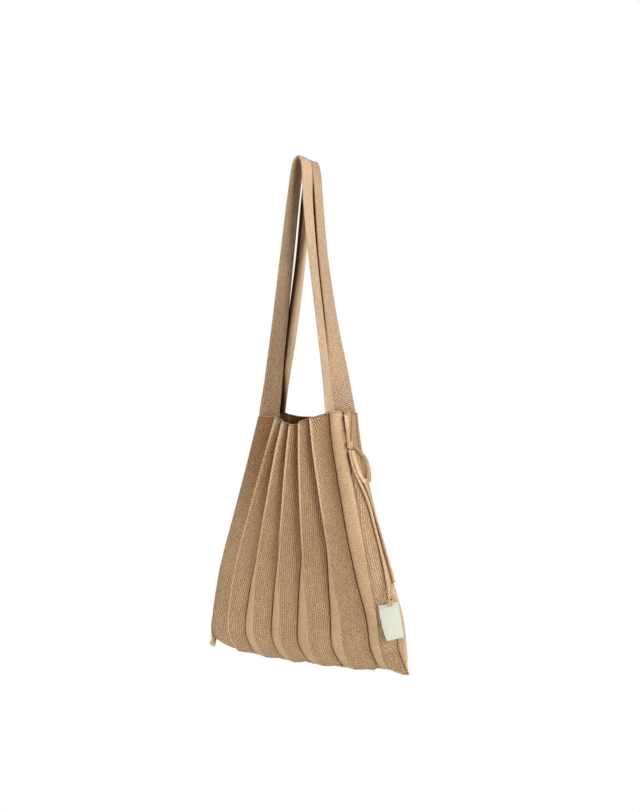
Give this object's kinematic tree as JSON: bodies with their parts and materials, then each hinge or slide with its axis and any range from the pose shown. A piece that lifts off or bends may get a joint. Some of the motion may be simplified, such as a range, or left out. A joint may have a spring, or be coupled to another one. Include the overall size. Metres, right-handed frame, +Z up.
{
  "type": "pleated knit bag",
  "caption": "Soft knit shoulder bag whose pleated body fans out from a narrow open mouth, with flat knit band handles, a tied knit cord and a bare side label.",
  "frame": {"origin": "where the bag hangs: under the top bends of the two handles", "axes": "+Z up, +X along the bag's width towards the side with the tie and label, -Y out of its front"},
  "size_m": [0.2549, 0.0768, 0.5784],
  "materials": {
    "knit_cloth": "matte fine rib knit",
    "knit_band": "matte double knit",
    "knit_cord": "matte knitted cord",
    "woven_label": "matte woven tape"
  },
  "bodies": {
    "root": {"panel_front": "knit_cloth", "panel_back": "knit_cloth", "handle_front": "knit_band", "handle_back": "knit_band", "tie_anchor": "knit_cord", "tie_loop": "knit_cord", "tie_tail_long": "knit_cord", "tie_tail_short": "knit_cord", "tie_knot": "knit_cord", "tail_knot": "knit_cord", "side_label": "woven_label"}
  },
  "joints": []
}
